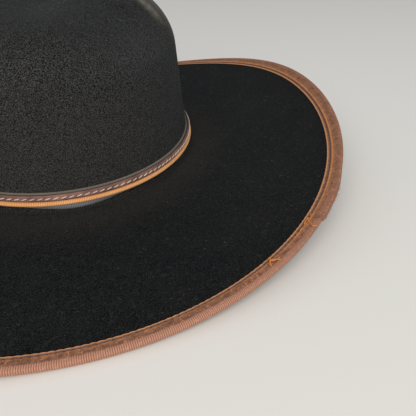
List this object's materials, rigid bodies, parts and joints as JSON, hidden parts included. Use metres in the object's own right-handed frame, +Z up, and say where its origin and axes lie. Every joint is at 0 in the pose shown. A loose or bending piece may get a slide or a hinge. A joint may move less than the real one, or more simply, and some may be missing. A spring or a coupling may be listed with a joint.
{
  "type": "western hat",
  "caption": "Wide-brim felt western hat with a creased crown, bound brim edge, stitched leather hatband that lifts off, sweatband and lining.",
  "frame": {"origin": "centre of the hat on the surface it stands on, at the lowest edge of the brim binding", "axes": "+Z up out of the crown, -Y towards the front of the hat, +X towards the wearer's left"},
  "size_m": [0.3654, 0.3908, 0.1154],
  "materials": {
    "felt": "charcoal black fur felt with a short nap, worn grey on the crown's ridges",
    "binding_ribbon": "brown ribbed grosgrain with a tan woven edge",
    "binding_thread": "brown sewing thread",
    "splice_thread": "orange hand-sewing thread",
    "crown_ribbon": "blue-grey ribbed grosgrain",
    "band_backing": "tan strip with fine cross ribs",
    "band_leather": "dark brown leather, lightly worn",
    "band_thread": "cream waxed thread",
    "sweatband_leather": "smooth brown roan leather",
    "reed": "matt reed",
    "sweatband_thread": "tan sewing thread",
    "bow_ribbon": "narrow brown ribbon",
    "satin": "satin lining with a soft sheen"
  },
  "bodies": {
    "hat": {"felt_body": "felt", "brim_binding": "binding_ribbon", "binding_stitching": "binding_thread", "splice_thread": "splice_thread", "band_ribbon": "crown_ribbon", "sweatband": "sweatband_leather", "sweatband_reed": "reed", "sweatband_stitching": "sweatband_thread", "sweatband_bow": "bow_ribbon", "liner_side": "satin", "liner_tip": "satin"},
    "hatband": {"hatband_backing": "band_backing", "hatband_strip": "band_leather", "hatband_stitching": "band_thread", "hatband_lap": "band_leather"}
  },
  "joints": [
    {"name": "hatband_lift", "type": "slide", "parent": "hat", "child": "hatband", "axis": [0, 0, 1], "range_m": [0, 0.11]}
  ]
}
